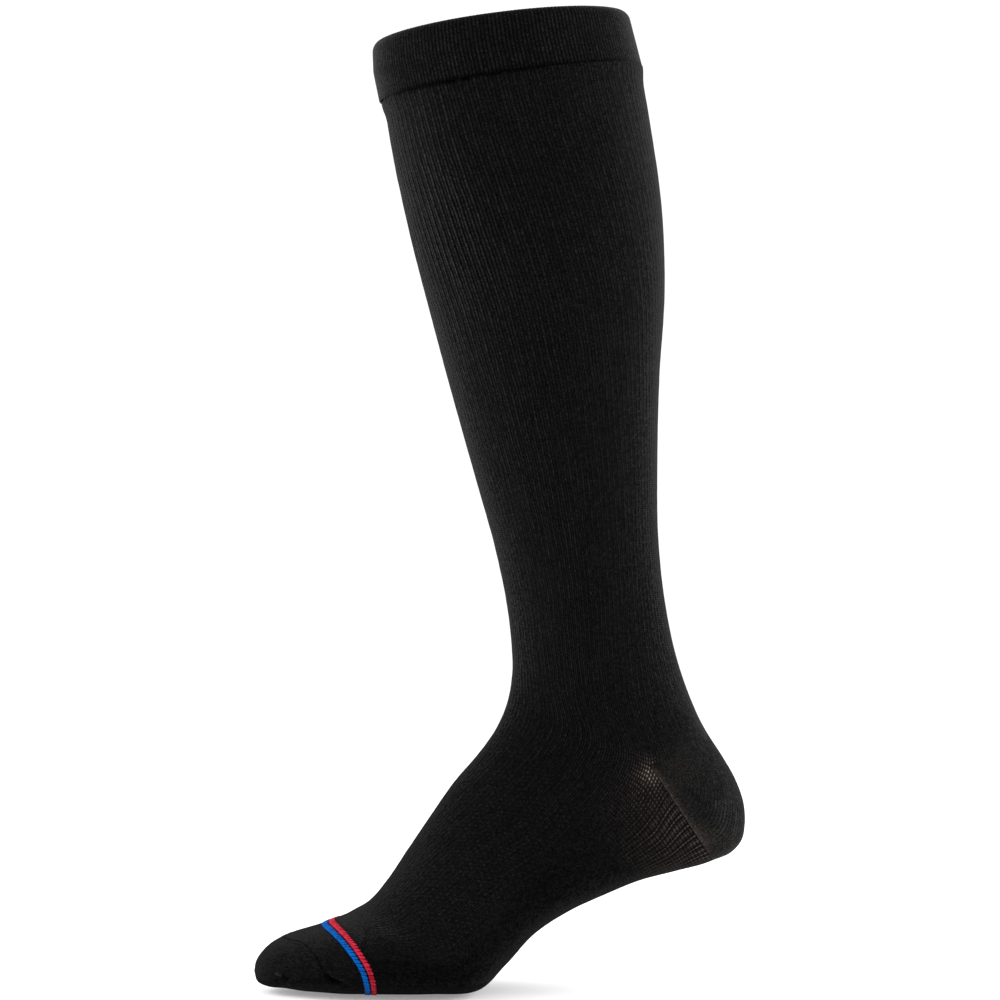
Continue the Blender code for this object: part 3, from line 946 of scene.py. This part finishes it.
def make_band(name, start, end, material, node, gap, shade):
    """A coloured ring of slanting stitches, scalloped on its side towards the heel.

    gap is how deep and how darkly shaded the dips between its stitches are, and shade how much
    painted shade it has underneath."""
    steps = np.r_[-0.45, -0.2, np.linspace(0.0, 1.0, 17), 1.2, 1.45]
    share = np.clip(steps, 0.0, 1.0)[:, None]
    past = steps[:, None] - share
    places = start + share[:, 0] * (end - start) + past[:, 0] * 2.0
    count = STRIPE_STITCHES * PER_STITCH
    stitches = np.arange(count + 1) / PER_STITCH
    turns, base, outwards, drift = plain_stretch(places, count)
    leaning = stitches[None, :-1] + 0.25 * (share - 0.5)
    which = nearest_whole(leaning)
    # The dips are deeper and darker on the upper part, as painted shade.
    gap = np.clip(gap * (1 + 0.7 * ease(0.6, 0.4, side_share(turns))), 0, 1)
    off = np.abs(leaning - which) * 2
    jitter = np.random.default_rng(41 + int(start)).uniform(-1, 1, (2, STRIPE_STITCHES))
    each, second = (row[which % STRIPE_STITCHES] for row in jitter)
    strand = 1 - off**2.2 * gap * (0.3 + 0.7 * (1 - share) ** 0.7) - 0.12 * hill(off, 0.2)
    across = 1 - np.abs(2 * share - 1) ** 3.5
    waist = 1 - 0.20 * hill(share - 0.5 - 0.06 * second, 0.09)
    raised = np.clip(strand * (0.1 + 0.9 * across) * waist, 0, 1)
    height = 0.02 + (0.40 + 0.07 * each) * raised - 0.9 * np.abs(past)
    scallop = 0.8 * (1 - np.sqrt(np.clip(1 - off**2, 0, 1))) * (1 - share)
    outer = base + outwards * height[..., None] + drift * (bow(turns) + scallop)[..., None]
    # Painted shade in the dips between stitches, along the band's edges and underneath, and
    # painted highlights on the stitches' heads towards the heel.
    rim = ease(0.14, 0.0, share) + ease(0.86, 1.0, share)
    under = ease(0.55, -0.1, outwards[..., 2])
    tone = np.clip(-0.9 * (1 - raised) ** 1.2 - 0.75 * rim, -0.95, 0) + 0.12 * each - shade * under
    tone += 0.3 * (1 - share) * hill(off, 0.5) * (share > 0.02)
    inner = outer - outwards * PLY
    shell = shell_from(outer, inner, places, stitches, {"tone": tone}, steps=(4, PER_STITCH))
    band = shell.make(name, material)
    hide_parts(node)
    return band


# The toe's linked seam down its side: y and z in millimetres
SEAM = np.array((
    (-106.5, -441.2), (-104.0, -441.0), (-100.0, -440.9), (-97.0, -441.1), (-94.4, -442.1),
    (-92.0, -443.9), (-89.8, -445.8), (-87.9, -447.9), (-86.7, -450.4), (-85.6, -452.6),
    (-84.1, -454.4), (-82.1, -455.8), (-78.9, -457.6), (-76.0, -458.2),
))
# Lumps and dents round the seam: y, z, radius and height. The small ones also get painted
# highlights on the lumps and painted shade in the dents; the wide ones don't change the tone
WIDE_PUCKER = 2.0
PUCKERS = (
    (-108.2, -456.1, 0.9, 0.45), (-106.3, -456.9, 0.8, 0.40), (-104.2, -455.3, 0.7, -0.4),
    (-105.2, -457.0, 0.8, -0.5), (-103.3, -458.1, 1.1, -0.6), (-102.4, -460.9, 0.9, 0.5),
    (-101.3, -459.1, 0.7, 0.4), (-84.6, -455.6, 1.1, -0.5), (-82.6, -456.9, 1.3, -0.6),
    (-80.6, -457.9, 1.4, -0.6), (-78.2, -458.6, 0.8, -0.2), (-75.6, -457.4, 0.6, 0.45),
    (-73.7, -458.1, 0.6, 0.40), (-77.0, -457.0, 0.6, 0.30), (-79.9, -459.9, 0.8, 0.30),
    (-90.6, -459.9, 0.7, 0.30), (-88.9, -459.6, 0.5, 0.25), (-87.1, -459.8, 0.6, 0.30),
    (-83.9, -459.7, 0.6, 0.25), (-97.5, -449.5, 2.4, 0.25), (-93.5, -453.5, 2.8, -0.25),
    (-99.0, -456.5, 2.4, 0.22), (-104.0, -449.0, 2.6, -0.2), (-110.0, -451.0, 2.6, 0.2),
)


def seam_distance(points):
    """The signed distance over the cloth from the toe's seam: past it towards the tip is more."""
    flat = points[..., 1:]
    best = np.full(flat.shape[:2], 1e9)
    sign = np.ones(flat.shape[:2])
    for start, end in zip(SEAM[:-1], SEAM[1:]):
        run = end - start
        share = np.clip(((flat - start) @ run) / (run @ run), 0.0, 1.0)
        away = flat - start - share[..., None] * run
        distance = length(away)
        side = np.sign(run[0] * away[..., 1] - run[1] * away[..., 0])
        nearer = distance < best
        best = np.where(nearer, distance, best)
        sign = np.where(nearer, -side, sign)
    signed = best * sign
    down = np.gradient(signed, axis=0) / np.maximum(length(np.gradient(points, axis=0)), 0.05)
    across = round_steps(signed) / np.maximum(length(round_steps(points)), 0.05)
    return signed / np.clip(np.hypot(down, across), 0.3, 1.0)


def make_toe():
    """The closed toe cap, with its linked seam over the top and the puckers at the seam's ends."""
    start, end = TOE_PLACE, FOOT_PLACES[-1]
    tip = end - 6.0 * (1 - np.linspace(0, 1, 14)[1:]) ** 1.5
    places = np.r_[start - 0.9, place_steps(start, end - 6.0, 0.5), tip]
    count = TOE_WALES * PER_WALE
    turns, base, outwards, drift = plain_stretch(places, count)
    outwards[-1] = (0.0, -1.0, 0.0)
    bend = bow(turns) * (1 - ease(start, start + 14.0, places))[:, None]
    base += drift * bend[..., None]
    away = seam_distance(base)
    groove, ridge, lip = hill(away, 0.55), hill(away - 1.1, 0.6), hill(away + 1.3, 0.8)
    low = ease(-446.0, -453.0, base[..., 2])
    height = -0.34 * groove + 0.16 * ridge * (1 - 0.7 * low) + 0.1 * lip
    # Painted shade in the seam's groove and a painted highlight on its ridge, less of it low down.
    tone = -0.7 * groove + 0.1 * ridge * (1 - low)
    side = ease(12.0, 20.0, np.abs(base[..., 0]))
    for y, z, radius, lump in PUCKERS:
        bump = hill(np.hypot(base[..., 1] - y, base[..., 2] - z), radius) * side
        height += lump * bump
        if radius < WIDE_PUCKER:
            tone += np.clip(lump * 1.3, -0.65, 0.6) * bump
    fade = ease(0.0, 2.5, places - start)[:, None]
    height = height * fade + np.where(places < start, -0.35, 0.0)[:, None]
    outer = base + outwards * height[..., None]
    # Painted shade on the faces that turn downwards, and below them a copy of the knit with less
    # sheen, so that the underside looks less lit.
    tone = np.clip(tone * fade, -1, 1) - 0.42 * ease(-0.1, -0.8, outwards[..., 2])
    ragged = value_noise(73, TOE_WALES, 3.0, nearest_whole(turns * TOE_WALES), places[:, None])
    kind = np.where(outwards[..., 2] + 0.25 * ragged < -0.35, 1, 0)
    wales = np.arange(count + 1) / PER_WALE
    values = {"tone": tone, "rib": 0.25, "kind": kind}
    shell = shell_from(outer, base - outwards * PLY, places, wales, values, cap=True)
    toe = shell.make("toe_knit", PLAIN, PLAIN_UNDER, weld=True)
    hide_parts("toe")
    return toe


def grown(row, distance):
    """A section's row with its ring moved out by this distance."""
    front, back = section(row)[:2]
    outwards = (unit(front - back) * distance)[1:]
    return row + np.r_[outwards, -outwards, 0.0, 0.0, distance, 0.0, 0.0]


def between(rows, place):
    """The row at this place along evenly spaced rows, which may lie just past either end."""
    index = int(np.clip(np.floor(place), 0, len(rows) - 2))
    first, second = np.array(rows[index]), np.array(rows[index + 1])
    return first + (place - index) * (second - first)


def welt_outline():
    """The turned band from inside its seam, up the outside, over the rim and down the inside.

    Points are (height above the seam, distance out from the band's outside)."""
    front_height = length(np.subtract(WELT_SECTIONS[0][:2], WELT_SECTIONS[-1][:2]))
    thickness, bend, lean = 2.7, 5.0, np.radians(50.0)
    shoulder = np.array((front_height - bend, -bend))
    fold = shoulder + (bend - thickness / 2) * np.array((np.sin(lean), np.cos(lean)))

    def arc(centre, radius, angles):
        return [centre + radius * np.array((np.sin(angle), np.cos(angle))) for angle in angles]

    points = [(2.2, -0.9), (1.0, -0.9), (0.35, -0.75), (0.0, -0.4), (0.15, -0.1), (0.6, 0.02)]
    points += [(h, 0.0) for h in np.linspace(1.3, shoulder[0] - 1.2, 17)]
    points += arc(shoulder, bend, np.linspace(0.0, lean, 5))
    points += arc(fold, thickness / 2, np.linspace(lean, lean + np.pi, 11)[1:])
    points += arc(shoulder, bend - thickness, np.linspace(lean, 0.0, 3)[1:])
    points += [(h, -thickness) for h in np.linspace(shoulder[0] - 1.5, 1.0, 12)]
    points += [(0.3, -thickness + 0.05), (0.0, -2.4), (0.35, -2.0), (2.2, -1.9)]
    return np.array(points), front_height

def make_welt():
    """The turned double band at the top."""
    outline, front_height = welt_outline()
    last = len(WELT_SECTIONS) - 1
    rings = []
    for height, out in outline:
        row = between(WELT_SECTIONS, last * (1 - height / front_height))
        rings.append(half_ring(grown(row, out)))
    points = both_sides(np.stack(rings))
    normals = normals_of(points, -np.gradient(points, axis=0))
    along = lengths(outline)
    count = WALES * PER_WALE
    turns = np.broadcast_to(columns_of(count), (len(outline), count))
    wale = turns * WALES
    nearest = nearest_whole(wale)
    off = np.abs(wale - nearest) * 2
    lines = value_noise(31, WALES, 4.0, nearest, along[:, None])
    height = 0.09 * (hill(off, 0.55) * (1 + 0.35 * lines) - 0.4)
    outer = sample(points, turns) + sample(normals, turns) * height[..., None]
    facing = unit(np.cross(-np.gradient(outer, along, axis=0), round_steps(outer)))
    facing[2:6] = facing[6]  # the seam's edge is lit like the cloth above it
    shell = Shell()
    # Painted shade on the band's lower edge at the seam, weaker near the front edge.
    edge = hill(outline[:, 0], 1.5) * (outline[:, 1] > -1.0)
    tone = -edge[:, None] * (0.15 + 0.6 * ease(0.10, 0.22, side_share(turns)))
    out = shell.add_points(outer, facing, rib=1.0, tone=tone)
    shell.add_grid(out, np.arange(count + 1) / PER_WALE, along, (0.0, 1.0), flip=True)
    welt = shell.make("welt_knit", WELT)
    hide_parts("welt")
    return welt


welt = make_welt()
leg = make_leg()
heel = make_heel()
foot = make_foot()
red = make_band("red_stripe", RED_PLACE, BLUE_PLACE, RED, "stripe_red", 0.9, 0.08)
blue = make_band("blue_stripe", BLUE_PLACE, TOE_PLACE, BLUE, "stripe_blue", 0.65, 0.1)
toe = make_toe()


# ---- studio


# A large floor just under the foot that glows a little, to stay pale
size, z = 30.0, -0.4680
corners = [(-size, -size, z), (size, -size, z), (size, size, z), (-size, size, z)]
floor = bpy.data.meshes.new("floor")
floor.from_pydata(corners, [], [(0, 1, 2, 3)])
glow = {"Emission Color": (1.0,) * 3, "Emission Strength": 0.25}
floor.materials.append(
    Nodes("pale_floor").shade({"Base Color": (0.75,) * 3, "Roughness": 0.9, **glow})
)
add_object("floor", floor)

scene = bpy.context.scene
camera = bpy.data.cameras.new("camera")
camera.sensor_width, camera.lens = 36.0, 129.6
scene.camera = add_object("camera", camera, (1.75, -0.00146, -0.22915), (-1.0, 0.0, 0.0))
for name, place, size, power in (
    ("left", (0.25, -1.65, 0.15), (0.8, 1.8), 52.0),
    ("right", (0.25, 1.65, 0.15), (0.8, 1.8), 52.0),
    ("top", (0.1, 0.0, 1.5), (1.5, 1.5), 6.0),
):
    lamp = bpy.data.lights.new(name, "AREA")
    lamp.shape, lamp.energy = "RECTANGLE", power
    lamp.size, lamp.size_y = size
    add_object(name, lamp, place, Vector((0.0, 0.0, -0.23)) - Vector(place))
world = bpy.data.worlds.new("studio")
world.use_nodes = True
background = world.node_tree.nodes["Background"]
background.inputs["Color"].default_value = (1.0, 1.0, 1.0, 1.0)
background.inputs["Strength"].default_value = 1.08
scene.world = world
scene.view_settings.view_transform = "Standard"
